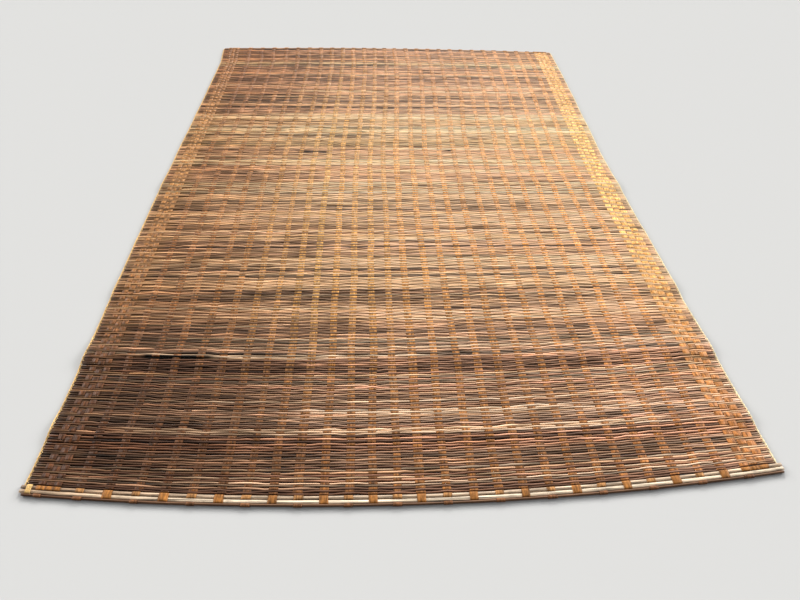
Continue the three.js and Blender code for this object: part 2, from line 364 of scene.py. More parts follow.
# Neighbouring reeds that are very pale, and very dark: distance, from x, to x
PALE_PAIRS = (
    (176, -720, 640), (240, -250, 420), (430, -640, -230), (1479, -80, 820), (1531, -900, 900),
    (1560, -900, 900), (1661, -60, 760), (1822, -860, 900), (1947, -800, 900), (1979, -560, 900),
    (2237, -480, 700), (2594, -900, 860),
)
# The first dark pair, at 240 mm on the right, is painted shadow along a thin slit
DARK_PAIRS = (
    (240, 680, 800), (723, -620, 420), (642, 60, 560), (1469, -900, -520), (1452, -900, -300),
    (2195, -760, -340), (2560, -620, 300),
)
PAIR_ENDS = (60, 60)  # how softly a pair's colour ends, outside and inside
PAIR_COLOUR_SHARE = 0.85
PALE_PAIR_COLOUR, DARK_PAIR_COLOUR = STRAW * 1.3, UMBER * 0.5
# The single lines lie anywhere across, and reach this far to each side
LINE_MIDDLE, LINE_REACH = (-650, 650), (150, 750)
LINE_FADE = 60
LINE_COLOUR_SHARE = 0.75

BAND_SMEAR = 18  # how far reeds stray from their band
DULL_REEDS, DULL_TONE = 0.10, 0.62  # the share of reeds that are duller than their band
STRAW_REEDS, STRAW_SHARE = 0.09, 0.6  # and of those nearer to straw
REED_TONE = (-0.07, 0.38)  # mean and spread of the reeds' tones
FAR_VARIES_MORE = 0.9
CHANNEL_NOISE = 0.015
# How tones change along each reed: spacing, amount
TONE_WANDER = ((62, 0.33), (300, 0.14))
# Tones shared by neighbouring reeds: strength, then spacing across, spacing along and amount
CLUMPS = 0.22
CLUMP_SIZES = ((90, 15, 1), (200, 42, 0.7))
WARM_WANDER = (300, 0.025)
WARM = np.array([1, 0, -1.4])  # what a warmer tone adds to red, green and blue
DARK_IS_WARM = np.array([1, 1.1, 1.25])  # dark tones lose more green and most blue
CREST_PAINTED_LIGHT = 0.16  # painted light and shade: a reed is paler where it rises over the bark and darker where it dips
# The reeds between the border's strips are mixed towards the bark's gold, which also lightens them as
# painted light against the shade of the bark's bends
GOLD_INNER, GOLD_OUTER = (105, 85), (12, 34)  # where it fades out, from the mat's side
BORDER_GOLD_AND_LIGHT = 0.25
SLIT_SHADOW_ENDS = (12, 0)
SLIT_PAINTED_SHADOW = 0.97
YELLOWED = np.array([1.0, 1.0, 0.98])
PALEST = 1.0

# Painted light and shade over the mat, darker at the near left and paler towards the far right, with
# some tints: from where to where, and how much of red, green and blue.
# Places run from -1 to 1 across and from 0 to 1 along.
LEFT_PART, LEFT_PAINTED_SHADE = (-0.15, 0.95), np.array([0.53, 0.6, 0.66])
RIGHT_PART, RIGHT_PAINTED_LIGHT = (0, 0.9), np.array([0.26, 0.31, 0.36])
FAR_PART, FAR_TINT = (0.6, 1.0), np.array([0, 0.03, 0.1])
FAR_RIGHT_PAINTED_LIGHT = np.array([0.2, 0.27, 0.32])
CORNER_PART, CORNER_PAINTED_SHADE = (0.1, 0.24), 0.4
FRONT_PART, FRONT_PAINTED_SHADE = (0.11, 0.28), np.array([0.15, 0.18, 0.11])
# Painted shade along the near edge: the mat is lighter beyond it
EDGE_PART, LIGHTER_BEYOND_EDGE = (0.03, 0.12), np.array([0.16, 0.2, 0.23])
RED_PART, RED_END = (0.62, 0.98), np.array([0.11, 0.18, 0.22])
# Two belts across: middle and reach, and how much paler
BELT_AT, PALE_BELT = (0.59, 0.14), np.array([0.09, 0.12, 0.1])
MIDDLE_AT, PALE_MIDDLE = (0.5, 0.25), 0.06
# Painted shade: the near left is the dullest, and the tone rises slantwise from there
DULLEST, LESS_DULL = 0.84, 0.18
SLANT, SLANT_PART = 0.2, (-0.1, 0.6)


def hump(value, middle, reach):
    """1 at the middle and near 0 beyond twice the reach."""
    return np.exp(-(((value - middle) / reach) ** 2))


def painted_light_and_tint(across, along):
    """What every colour is multiplied by: painted light and shade, darker at the near left and paler
    towards the far right, with some tints.
    """
    left = smooth(-across, *LEFT_PART)
    right = smooth(across, *RIGHT_PART)
    far = smooth(along, *FAR_PART)
    corner = left * (1 - smooth(along, *CORNER_PART))
    tone = DULLEST + LESS_DULL * smooth(along + SLANT * across, *SLANT_PART)
    tone = tone * (1 + PALE_MIDDLE * hump(along, *MIDDLE_AT)) * (1 - CORNER_PAINTED_SHADE * corner)
    share = tone[..., None]
    for place, change in (
        (left, -LEFT_PAINTED_SHADE),
        (right, RIGHT_PAINTED_LIGHT),
        (right * far, FAR_RIGHT_PAINTED_LIGHT),
        (1 - smooth(along, *FRONT_PART), -FRONT_PAINTED_SHADE),
        (smooth(along, *EDGE_PART), LIGHTER_BEYOND_EDGE),
        (hump(along, *BELT_AT), PALE_BELT),
        (smooth(along, *RED_PART), -RED_END),
        (far, -FAR_TINT),
    ):
        share = share * (1 + place[..., None] * change)
    return share


def reed_colours():
    """Colour of every reed at every ring."""
    rng = np.random.default_rng(37)
    starts = np.array([row[0] for row in BANDS])
    smear = rng.normal(0, BAND_SMEAR, REEDS)
    picks = np.searchsorted(starts, DISTANCE + smear, side="right") - 1
    base = np.array([row[1] for row in BANDS])[np.clip(picks, 0, None)]
    mixed = rng.random(REEDS)
    base = np.where((mixed < DULL_REEDS)[:, None], base * DULL_TONE, base)
    nearer_straw = base + (STRAW - base) * STRAW_SHARE
    base = np.where((mixed > 1 - STRAW_REEDS)[:, None], nearer_straw, base)
    base = base * np.exp(rng.normal(*REED_TONE, (REEDS, 1)) * (1 + FAR_VARIES_MORE * ALONG[:, None]))
    base = base * (1 + rng.normal(0, CHANNEL_NOISE, (REEDS, 3)))
    skin = np.repeat(base[:, None, :], len(RING_X), axis=1)
    for pairs, colour in ((PALE_PAIRS, PALE_PAIR_COLOUR), (DARK_PAIRS, DARK_PAIR_COLOUR)):
        for distance, start, end in pairs:
            row = row_at(distance)
            share = stretch(start, end, *PAIR_ENDS)[:, None] * PAIR_COLOUR_SHARE
            skin[row : row + 2] += (colour - skin[row : row + 2]) * share
    for distance, colour in LINES:
        middle, reach = rng.uniform(*LINE_MIDDLE), rng.uniform(*LINE_REACH)
        share = 1 - smooth(np.abs(RING_X - middle), reach - LINE_FADE, reach + LINE_FADE)
        row = row_at(distance)
        skin[row] += (colour - skin[row]) * share[:, None] * LINE_COLOUR_SHARE
    first, second = TONE_WANDER
    tone = wander(rng, REEDS, RING_X, *first) + wander(rng, REEDS, RING_X, *second)
    small, large = CLUMP_SIZES
    tone += CLUMPS * (0.5 + ALONG[:, None]) * (cloud(rng, *small) + cloud(rng, *large))
    tone = tone[:, :, None]
    warm = wander(rng, REEDS, RING_X, *WARM_WANDER)[:, :, None]
    skin = skin * np.exp(tone * np.where(tone < 0, DARK_IS_WARM, 1)) * (1 + warm * WARM)
    border = smooth(FROM_EDGE, *GOLD_INNER) * smooth(FROM_EDGE, *GOLD_OUTER)
    skin = skin + (BARK_GOLD - skin) * (border * BORDER_GOLD_AND_LIGHT)[:, None]
    # Painted light and shade where the reeds rise over the bark and dip under it
    crest = 1 - CREST_PAINTED_LIGHT * WAVE[:, :, None]
    skin = skin * crest * painted_light_and_tint(RING_X[None, :] / HALF_WIDTH, ALONG[:, None])
    # Painted shadow: the broken-out reed and its neighbour are darkened nearly to black
    for distance, start, end in SLITS:
        row = row_at(distance)
        skin[row : row + 2] *= 1 - SLIT_PAINTED_SHADOW * stretch(start, end, *SLIT_SHADOW_ENDS)[:, None]
    brightest = skin.max(axis=2, keepdims=True)
    return skin * YELLOWED * np.minimum(1, PALEST / brightest)


# Mesh helpers

def add_mesh(name, points, faces, colours, material):
    """A mesh of points in millimetres, faces as arrays of point numbers, and a colour a point."""
    mesh = bpy.data.meshes.new(name)
    corners = np.concatenate([f.ravel() for f in faces]).astype(np.int32)
    sizes = np.concatenate([np.full(len(f), f.shape[1]) for f in faces])
    starts = np.concatenate([[0], np.cumsum(sizes)[:-1]]).astype(np.int32)
    mesh.vertices.add(len(points))
    mesh.vertices.foreach_set("co", (points * MM).astype(np.float32).ravel())
    mesh.loops.add(len(corners))
    mesh.loops.foreach_set("vertex_index", corners)
    mesh.polygons.add(len(sizes))
    mesh.polygons.foreach_set("loop_start", starts)
    mesh.polygons.foreach_set("use_smooth", sizes < 5)
    skin = mesh.color_attributes.new("skin", "FLOAT_COLOR", "POINT")
    rgba = np.concatenate([colours, np.ones((len(colours), 1))], 1)
    skin.data.foreach_set("color", rgba.astype(np.float32).ravel())
    mesh.update(calc_edges=True)
    mesh.validate()
    mesh.materials.append(material)
    piece = bpy.data.objects.new(name, mesh)
    bpy.context.collection.objects.link(piece)
    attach(piece, "root")
    return piece


def tube_faces(tubes, rings, sides):
    """Faces of closed tubes that follow each other in the list of points."""
    tube, ring, side = np.meshgrid(
        np.arange(tubes), np.arange(rings - 1), np.arange(sides), indexing="ij"
    )
    first = (tube * rings + ring) * sides
    a, b = first + side, first + (side + 1) % sides
    quads = np.stack([a, b, b + sides, a + sides], -1).reshape(-1, 4)
    start = np.arange(tubes)[:, None] * rings * sides + np.arange(sides)[::-1]
    end = (np.arange(tubes)[:, None] * rings + rings - 1) * sides + np.arange(sides)
    return [quads, np.concatenate([start, end])]


def loop_faces(loops, rings, sides):
    """Faces of closed loops: the last ring joins the first one again."""
    loop, ring, side = np.meshgrid(
        np.arange(loops), np.arange(rings), np.arange(sides), indexing="ij"
    )
    here = (loop * rings + ring) * sides
    ahead = (loop * rings + (ring + 1) % rings) * sides
    beside = (side + 1) % sides
    return [np.stack([here + side, here + beside, ahead + beside, ahead + side], -1).reshape(-1, 4)]


def joined(parts):
    """Points and faces of several tubes or loops as one set. A part is its points and its faces."""
    points, faces, count = [], [], 0
    for part_points, part_faces in parts:
        points.append(part_points.reshape(-1, 3))
        faces.append([f + count for f in part_faces])
        count += len(points[-1])
    return np.concatenate(points), [np.concatenate(kind) for kind in zip(*faces)]


def unit(v):
    return v / np.maximum(np.linalg.norm(v, axis=-1, keepdims=True), 1e-9)


def path_frame(path):
    """Sideways and upward directions along a path."""
    tangent = unit(np.gradient(path, axis=-2))
    side = unit(np.cross([0, 0, 1.0], tangent))
    return side, np.cross(tangent, side)


def round_tube(path, radius, sides=6, flat=1.0):
    """Rings of points round a path; flat is the section's height as a share of its width."""
    side, up = path_frame(path)
    angle = 2 * math.pi * (np.arange(sides) + 0.5) / sides
    radius = np.broadcast_to(radius, path.shape[:-1])[..., None, None]
    ring = (
        side[..., None, :] * np.cos(angle)[:, None]
        + up[..., None, :] * np.sin(angle)[:, None] * flat
    )
    return path[..., None, :] + ring * radius


def twist(path, radius, turn, phase):
    """A path wound round another one, with one turn for each `turn` of its length."""
    side, up = path_frame(path)
    steps = np.linalg.norm(np.diff(path, axis=-2), axis=-1)
    angle = np.concatenate([[0], np.cumsum(steps)]) / turn * 2 * math.pi + phase
    return path + radius * (side * np.cos(angle)[:, None] + up * np.sin(angle)[:, None])


def boxy_loop(angle, width, height, power):
    """Sideways and upward offsets of a loop: an ellipse at a power of 1, and boxier below it."""
    sideways, upward = np.cos(angle), np.sin(angle)
    return (
        np.sign(sideways) * np.abs(sideways) ** power * width / 2,
        np.sign(upward) * np.abs(upward) ** power * height / 2,
    )


# Materials

NOISE_RANGE = (0.3, 0.7)  # where nearly all of the noise lies
BRIGHTER = 0.6  # a grain or blotch brightens by this share of what it darkens
GLOSS_VARIES = 0.1
RELIEF_DEPTH = 0.0005


def plant_material(name, grain, depth, rough, bump, blotch, blotch_depth, shine):
    """A dry plant skin: the mesh's own colour with grain, blotches and a fine relief.

    grain and blotch are the scales of the noise along x, y and z, in features a metre.
    """
    material = bpy.data.materials.new(name)
    material.use_nodes = True
    nodes, links = material.node_tree.nodes, material.node_tree.links
    shader = nodes["Principled BSDF"]
    place = nodes.new("ShaderNodeTexCoord")
    skin = nodes.new("ShaderNodeVertexColor")
    skin.layer_name = "skin"

    def noise(scale, detail, low, high):
        mapping = nodes.new("ShaderNodeMapping")
        mapping.inputs["Scale"].default_value = scale
        links.new(place.outputs["Object"], mapping.inputs["Vector"])
        texture = nodes.new("ShaderNodeTexNoise")
        texture.inputs["Scale"].default_value = 1
        texture.inputs["Detail"].default_value = detail
        links.new(mapping.outputs["Vector"], texture.inputs["Vector"])
        ranged = nodes.new("ShaderNodeMapRange")
        ranged.inputs["From Min"].default_value = NOISE_RANGE[0]
        ranged.inputs["From Max"].default_value = NOISE_RANGE[1]
        ranged.inputs["To Min"].default_value = low
        ranged.inputs["To Max"].default_value = high
        links.new(texture.outputs["Fac"], ranged.inputs["Value"])
        return texture.outputs["Fac"], ranged.outputs["Result"]

    fine, fine_tone = noise(grain, 3, 1 - depth, 1 + depth * BRIGHTER)
    _, broad_tone = noise(blotch, 2, 1 - blotch_depth, 1 + blotch_depth * BRIGHTER)
    tone = nodes.new("ShaderNodeMath")
    tone.operation = "MULTIPLY"
    links.new(fine_tone, tone.inputs[0])
    links.new(broad_tone, tone.inputs[1])
    colour = nodes.new("ShaderNodeVectorMath")
    colour.operation = "SCALE"
    links.new(skin.outputs["Color"], colour.inputs[0])
    links.new(tone.outputs["Value"], colour.inputs["Scale"])
    links.new(colour.outputs["Vector"], shader.inputs["Base Color"])
    _, gloss = noise(grain, 2, rough + GLOSS_VARIES, rough - GLOSS_VARIES)
    links.new(gloss, shader.inputs["Roughness"])
    relief = nodes.new("ShaderNodeBump")
    relief.inputs["Strength"].default_value = bump
    relief.inputs["Distance"].default_value = RELIEF_DEPTH
    links.new(fine, relief.inputs["Height"])
    links.new(relief.outputs["Normal"], shader.inputs["Normal"])
    shader.inputs["Specular IOR Level"].default_value = shine
    return material


REED_SKIN = plant_material(
    "reed_skin", grain=(14, 620, 620), depth=0.3, rough=0.6, bump=0.5,
    blotch=(16, 60, 60), blotch_depth=0.18, shine=0.12,
)
BARK_SKIN = plant_material(
    "bark_skin", grain=(260, 40, 40), depth=0.62, rough=0.6, bump=0.9,
    blotch=(90, 90, 90), blotch_depth=0.35, shine=0.12,
)
CANE_SKIN = plant_material(
    "cane_skin", grain=(7, 420, 420), depth=0.8, rough=0.5, bump=0.5,
    blotch=(16, 150, 150), blotch_depth=0.3, shine=0.25,
)
FIBRE_SKIN = plant_material(
    "fibre_skin", grain=(500, 500, 500), depth=0.3, rough=0.8, bump=0.8,
    blotch=(60, 60, 60), blotch_depth=0.15, shine=0.15,
)


# The reeds

SECTIONS = ("near", "middle", "far")
END_CUT = (-0.9, 1.2)  # how much shorter each reed is cut at each end


def make_reeds():
    """Every reed, in three sections that are each one woven sheet."""
    rng = np.random.default_rng(41)
    along = ALONG[:, None]
    across = across_of(RING_X[None, :], RING_DRIFT[None, :], along)
    x, y = plan(across, along)
    y = y + REED_SHIFT
    x[:, 0] += rng.uniform(*END_CUT, REEDS)
    x[:, -1] -= rng.uniform(*END_CUT, REEDS)
    z = REED_LINE_Z + lift(across, DISTANCE[:, None])
    half = (REED_HALF[:, None] * REED_THICK)[:, :, None]
    face = (REED_TOP[:, None] * REED_THICK)[:, :, None]
    points = np.stack(
        [
            np.broadcast_to(x[:, :, None], (*x.shape, REED_SIDES)),
            y[:, :, None] + half * REED_SECTION[:, 0],
            np.maximum(z[:, :, None] + face * REED_SECTION[:, 1], 0),
        ],
        -1,
    )
    # The palest reeds get less painted shade on their flanks and underside, so they read as bright
    # lines
    less_shade = np.zeros(REEDS)
    for distance, _, _ in PALE_PAIRS:
        row = row_at(distance)
        less_shade[row : row + 2] = PALE_REED_LESS_SHADE
    shades = REED_SHADES + (1 - REED_SHADES) * less_shade[:, None, None, None]
    colours = reed_colours()[:, :, None, :] * shades
    sections = []
    cuts = np.linspace(0, REEDS, len(SECTIONS) + 1).astype(int)
    for name, start, end in zip(SECTIONS, cuts, cuts[1:]):
        piece = add_mesh(
            f"reeds_{name}",
            points[start:end].reshape(-1, 3),
            tube_faces(end - start, len(RING_X), REED_SIDES),
            colours[start:end].reshape(-1, 3),
            REED_SKIN,
        )
        sections.append((piece, (end - start) * FIELD_LENGTH / REEDS))
    return sections


# The bark strips

# How far a patch of bark swells out over the gap beside it, and over the reed below it
FIELD_SWELL = (0.0, 0.05)
BORDER_SWELL = (2.4, 0.5)
SWELL_RISE = 1.7  # height of that bend above the reeds' middles
PATCH_REACH = 0.5  # a patch lies flat over this share of its reed's width
BARK_CLEARANCE = 0.06  # between the bark and a reed
# How much of its colour bark keeps on a patch, where it bends down, and under the reeds
PATCH_SHADE, BEND_SHADE, BORDER_BEND_SHADE, HIDDEN_SHADE = 1.0, 0.5, 0.3, 0.2


def strip_path(index):
    """Reed number, distance offset, z and shade along a strip's way over and under the reeds."""
    ring = STRIP_RINGS[index]
    over = OVER[:, index]
    z = REED_LINE_Z[:, ring]
    reach = PATCH_REACH * REED_HALF * REED_THICK[:, ring]
    face = REED_TOP * REED_THICK[:, ring] + BARK / 2 + BARK_CLEARANCE
    swell, crown = BORDER_SWELL if IS_BORDER[index] else FIELD_SWELL
    bend_shade = BORDER_BEND_SHADE if IS_BORDER[index] else BEND_SHADE
    rows = []
    for i in range(REEDS):
        level = z[i] + over[i] * face[i] + (crown if over[i] > 0 else 0)
        shade = PATCH_SHADE if over[i] > 0 else HIDDEN_SHADE
        rows.append((i, -reach[i], level, shade))
        rows.append((i, reach[i], level, shade))
        if i < REEDS - 1 and over[i] != over[i + 1]:
            gap = (z[i] + z[i + 1]) / 2
            bend = (i + 0.5, over[i] * swell, gap + SWELL_RISE, bend_shade)
            dive = (i + 0.5, 0, gap, HIDDEN_SHADE)
            rows += [bend, dive] if over[i] > 0 else [dive, bend]
    return np.array(rows)


# Bark keeps its orange better than the reeds keep their brown
FIELD_DYE = np.array([1.18, 1.0, 0.66])
BORDER_DYE = np.array([1.14, 0.93, 0.7])
# The strips left of the middle turn golden beyond the near end: x, reach, where, how strongly
GOLD_X, GOLD_REACH = -250, 260
GOLD_STARTS = (0.05, 0.3)
GOLD_VARIES = (0.5, 1.2)
# Those at the right are redder, most of all near the front: x, strength, how much that fades
RED_X, RED_SHARE, RED_FADES = (150, 700), 0.4, 0.6
# A border's colour at its near end and further on
LEFT_BORDER = (BARK_BROWN * 0.85, BARK_GOLD * 0.85)
RIGHT_BORDER = (BARK_ORANGE * 0.66, BARK_GOLD * 0.78)
BORDER_TURNS = (0.05, 0.5)
# The far half turns browner, and the near end is dull
FAR_HALF = (0.5, 1.0)
FIELD_BROWNS, BORDER_BROWNS = 0.3, 0.1
DULL_END, DULL_END_REACH, DULL_END_RISE = 0.52, 0.4, 0.24
PATCH_VARIES, STRIP_VARIES = 0.13, 0.06


def strip_colours(index, reeds):
    """Colour at each of the places along a strip, given as reed numbers."""
    rng = np.random.default_rng(500 + index)
    along = reeds / REEDS
    x = STRIP_X[index]
    golden = rng.uniform(*GOLD_VARIES)
    patch = rng.normal(0, PATCH_VARIES, REEDS)[np.clip(np.round(reeds).astype(int), 0, REEDS - 1)]
    tone = np.exp(patch + rng.normal(0, STRIP_VARIES))[:, None]
    if IS_BORDER[index]:
        start, rest = LEFT_BORDER if x < 0 else RIGHT_BORDER
        base = start + (rest - start) * smooth(along, *BORDER_TURNS)[:, None]
        browns, dye = BORDER_BROWNS, BORDER_DYE
    else:
        gold = golden * hump(x, GOLD_X, GOLD_REACH) * smooth(along, *GOLD_STARTS)
        red = RED_SHARE * smooth(x, *RED_X) * (1 - RED_FADES * along)
        base = BARK_ORANGE + (BARK_GOLD - BARK_ORANGE) * gold[:, None]
        base = base + (BARK_RED - base) * red[:, None]
        browns, dye = FIELD_BROWNS, FIELD_DYE
        # The field's strips are darker towards the near end
        tone = tone * (DULL_END + DULL_END_RISE * smooth(along, 0, DULL_END_REACH))[:, None]
    base = base + (BROWN - base) * browns * smooth(along, *FAR_HALF)[:, None]
    return base * dye * tone * painted_light_and_tint(np.full_like(along, x / HALF_WIDTH), along)


# How strips sway and widen along their way: spacing in reeds, amount
SWAYS = ((12, 0.9), (45, 2.4))
WIDER, WIDER_VARIES = 2.0, 0.9
WIDTH_WANDER = (30, 0.9)
RAGGED_EDGE = (1.6, 0.4)
BORDER_LOOSE = 0.3  # a border's strips do so by this share
RIBBON_SECTION = ((1, 1), (1, -1), (-1, -1), (-1, 1))


def ribbon(index, rng):
    """Four corners of a strip's section at each point of its way, and a colour for each."""
    x, width, drift, _ = STRIP_TABLE[index]
    reeds, offset, level, shade = strip_path(index).T
    numbers = np.arange(REEDS)
    distance = np.interp(reeds, numbers, DISTANCE)
    shift = np.interp(reeds, numbers, REED_SHIFT[:, STRIP_RINGS[index]]) + offset
    along = distance / FIELD_LENGTH
    loose = BORDER_LOOSE if IS_BORDER[index] else 1
    sway = loose * (wander(rng, 1, reeds, *SWAYS[0])[0] + wander(rng, 1, reeds, *SWAYS[1])[0])
    wider = loose * (WIDER + rng.normal(0, WIDER_VARIES) + wander(rng, 1, reeds, *WIDTH_WANDER)[0])
    tangent = unit(np.gradient(np.stack([distance + shift, level], 1), axis=0))
    corners = []
    for side, face in RIBBON_SECTION:
        edge = (width + wider) / 2 + wander(rng, 1, reeds, *RAGGED_EDGE)[0]
        across = across_of(x + side * edge + sway, drift, along)
        px, py = plan(across, along)
        py = py + shift - face * BARK / 2 * tangent[:, 1]
        pz = level + lift(across, distance) + face * BARK / 2 * tangent[:, 0]
        corners.append(np.stack([px, py, np.maximum(pz, 0)], 1))
    colours = strip_colours(index, reeds) * shade[:, None]
    return np.stack(corners, 1), np.repeat(colours, len(corners), axis=0)


def make_strips():
    """Every bark strip as a thin closed ribbon, in two pieces."""
    rng = np.random.default_rng(61)
    middle = len(STRIP_TABLE) // 2
    pieces = []
    for name, start, end in (("left", 0, middle), ("right", middle, 2 * middle)):
        parts, colours = [], []
        for index in range(start, end):
            rings, skin = ribbon(index, rng)
            parts.append((rings, tube_faces(1, *rings.shape[:2])))
            colours.append(skin)
        points, faces = joined(parts)
        colours = np.concatenate(colours)
        pieces.append(add_mesh(f"bark_strips_{name}", points, faces, colours, BARK_SKIN))
    return pieces


# The twined cord along each side

CORD_OUT = 2.7
CORD_Z = 2.9
CORD_PAST_ENDS = 2
CORD_STEPS = 1750
CORD_TURN = 4 * FIELD_LENGTH / REEDS  # one turn for every four reeds
CORD_WANDER = (45, 0.5)
CORD_WANDER_UP = 0.5  # as a share of the wander sideways
STRAND = 1.4
STRAND_OUT = 0.85
STITCH_IN, STITCH_OUT = 3.0, 0.8
# Height of the stitches over a reed, and between two
STITCH_OVER, STITCH_BETWEEN = REED_Z + REED_FACE + 0.5, REED_Z + 0.9
STITCH_RADIUS = 0.45
CORD_SIDES = 5
FIBRE_VARIES = 0.09


def make_cord(name, across, node):
    """Two strands twisted round each other along one side, and a fibre stitched over the reeds."""
    rng = np.random.default_rng(71 + across)
    distance = np.linspace(-CORD_PAST_ENDS, FIELD_LENGTH + CORD_PAST_ENDS, CORD_STEPS)
    x, y = plan(across, distance / FIELD_LENGTH)
    loose = wander(rng, 2, distance, *CORD_WANDER)
    z = CORD_Z + CORD_WANDER_UP * loose[1] + lift(across, distance)
    path = np.stack([x + across * CORD_OUT + loose[0], y, z], 1)
    phases = (0, math.pi)
    strands = [
        round_tube(twist(path, STRAND_OUT, CORD_TURN, phase), STRAND, CORD_SIDES)
        for phase in phases
    ]

    # The fibre goes from the cord round every reed end: over a reed, then down between two
    reach = np.arange(2 * REEDS - 1)
    place = np.interp(reach / 2, np.arange(REEDS), DISTANCE)
    inward = np.where(reach % 4 < 2, STITCH_IN, -STITCH_OUT)
    level = np.where(reach % 2 == 0, STITCH_OVER, STITCH_BETWEEN)
    x, y = plan(across, place / FIELD_LENGTH)
    stitch = np.stack([x - across * inward, y, level + lift(across, place)], 1)
    points, faces = joined([
        (np.stack(strands), tube_faces(len(phases), len(path), CORD_SIDES)),
        (round_tube(stitch, STITCH_RADIUS, CORD_SIDES), tube_faces(1, len(stitch), CORD_SIDES)),
    ])
    fibre = FIBRE_GOLD if across < 0 else FIBRE_PALE
    colours = fibre * np.exp(rng.normal(0, FIBRE_VARIES, (len(points), 1)))
    piece = add_mesh(name, points, faces, colours, FIBRE_SKIN)
    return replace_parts(piece, node)


# The near end

WRAP_ROOM = 1.7  # between the field, the canes and the rod, for the bark
CANE_WIDTH = 9.5
CANE_HEIGHT = 5
ROD_DIAMETER = 6
# How far they go past the field's left and right edges
CANE_OVERHANG = (10, 13)
ROD_OVERHANG = (2, 9)
BACK_CANE_Y = -(WRAP_ROOM + CANE_WIDTH / 2)
FRONT_CANE_Y = BACK_CANE_Y - CANE_WIDTH - WRAP_ROOM
ROD_Y = FRONT_CANE_Y - CANE_WIDTH / 2 - WRAP_ROOM - ROD_DIAMETER / 2
CANE_Z = 3.7
ROD_Z = 4.2
END_STEPS = 240
END_WANDER = 130
END_WANDER_UP = 0.3  # as a share of the wander along y
CANE_LOOSE, ROD_LOOSE = 0.25, 0.3
# A cane's section, in degrees round an ellipse: nearly flat below
CANE_SECTION = np.radians([200, 245, 295, 340, 15, 50, 90, 130, 165])
CANE_SWELLS, ROD_SWELLS = (90, 0.05), (80, 0.04)
KNOT_SWELL, KNOT_REACH = 0.12, 5
KNOT_DARK, KNOT_DARK_REACH = 0.45, 3
CANE_TONES = ((70, 0.09), (400, 0.06))
# Painted shade: the left ends are darker, as is the mat's left side
LEFT_SHADE_PART = (-900, -350)
LEFT_CANE_SHADE = np.array([0.42, 0.5, 0.56])
POINT_VARIES, STREAK_VARIES = 0.07, 0.16
BACK_KNOTS = (-640, -212, 236, 655)
FRONT_KNOTS = (-430, 20, 470, 842)
ROD_SIDES = 8


def end_path(along, offset, overhang, z, rng, loose):
    """A path along one end of the mat, a little uneven."""
    left, right = overhang
    across = np.linspace(-1 - left / HALF_WIDTH, 1 + right / HALF_WIDTH, END_STEPS)
    x, y = plan(across, along)
    uneven = wander(rng, 2, x, END_WANDER, loose)
    return np.stack([x, y + offset + uneven[0], z + uneven[1] * END_WANDER_UP], 1)


def cane_rings(path, width, height, knots, rng):
    """A split cane: flat below and rounded above, thicker at its knots."""
    side, up = path_frame(path)
    swell = 1 + wander(rng, 1, path[:, 0], *CANE_SWELLS)[0]
    for knot in knots:
        swell += KNOT_SWELL * hump(path[:, 0], knot, KNOT_REACH)
    across = (np.cos(CANE_SECTION) * width / 2 * swell[:, None])[..., None]
    upward = (np.sin(CANE_SECTION) * height / 2 * swell[:, None])[..., None]
    return path[:, None, :] + side[:, None, :] * across + up[:, None, :] * upward


def cane_colours(path, colour, knots, rng, sides):
    """Colours of a cane or rod: streaks along it, dark knots and painted shade towards the left end.
    """
    x = path[:, 0]
    tone = 1 + wander(rng, 1, x, *CANE_TONES[0])[0] + wander(rng, 1, x, *CANE_TONES[1])[0]
    for knot in knots:
        tone -= KNOT_DARK * hump(x, knot, KNOT_DARK_REACH)
    left_shade = 1 - smooth(x, *LEFT_SHADE_PART)
    colour = colour * (1 - left_shade[:, None] * LEFT_CANE_SHADE) * tone[:, None]
    points = rng.normal(0, POINT_VARIES, (len(path), sides))
    streaks = np.exp(points + rng.normal(0, STREAK_VARIES, sides))
    return (colour[:, None, :] * streaks[:, :, None]).reshape(-1, 3)


def make_canes():
    """The two split canes, side by side."""
    rng = np.random.default_rng(83)
    pieces = []
    for name, node, offset, colour, knots in (
        ("split_cane_back", "cane_back", BACK_CANE_Y, CANE_PINK, BACK_KNOTS),
        ("split_cane_front", "cane_front", FRONT_CANE_Y, CANE_PALE, FRONT_KNOTS),
    ):
        path = end_path(0, offset, CANE_OVERHANG, CANE_Z, rng, CANE_LOOSE)
        rings = cane_rings(path, CANE_WIDTH, CANE_HEIGHT, knots, rng)
        sides = rings.shape[1]
        faces = tube_faces(1, END_STEPS, sides)
        colours = cane_colours(path, colour, knots, rng, sides)
        piece = add_mesh(name, rings.reshape(-1, 3), faces, colours, CANE_SKIN)
        pieces.append(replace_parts(piece, node))
    return pieces


def make_rod(name, node, along, offset, overhang, z, diameter, colour, seed):
    """A round rod along one end of the mat."""
    rng = np.random.default_rng(seed)
    path = end_path(along, offset, overhang, z, rng, ROD_LOOSE)
    radius = diameter / 2 * (1 + wander(rng, 1, path[:, 0], *ROD_SWELLS)[0])
    rings = round_tube(path, radius, ROD_SIDES)
    colours = cane_colours(path, colour, (), rng, ROD_SIDES)
    faces = tube_faces(1, END_STEPS, ROD_SIDES)
    piece = add_mesh(name, rings.reshape(-1, 3), faces, colours, REED_SKIN)
    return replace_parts(piece, node)


# Bark bent round the canes and rods

FAR_ROD_OFFSET = 3.5
FAR_ROD_OVERHANG = (-2, -2)
FAR_ROD_Z = 3.0
FAR_ROD_DIAMETER = 6
FAR_WRAP_RISE = 1.2  # so that the loops of bark clear the floor

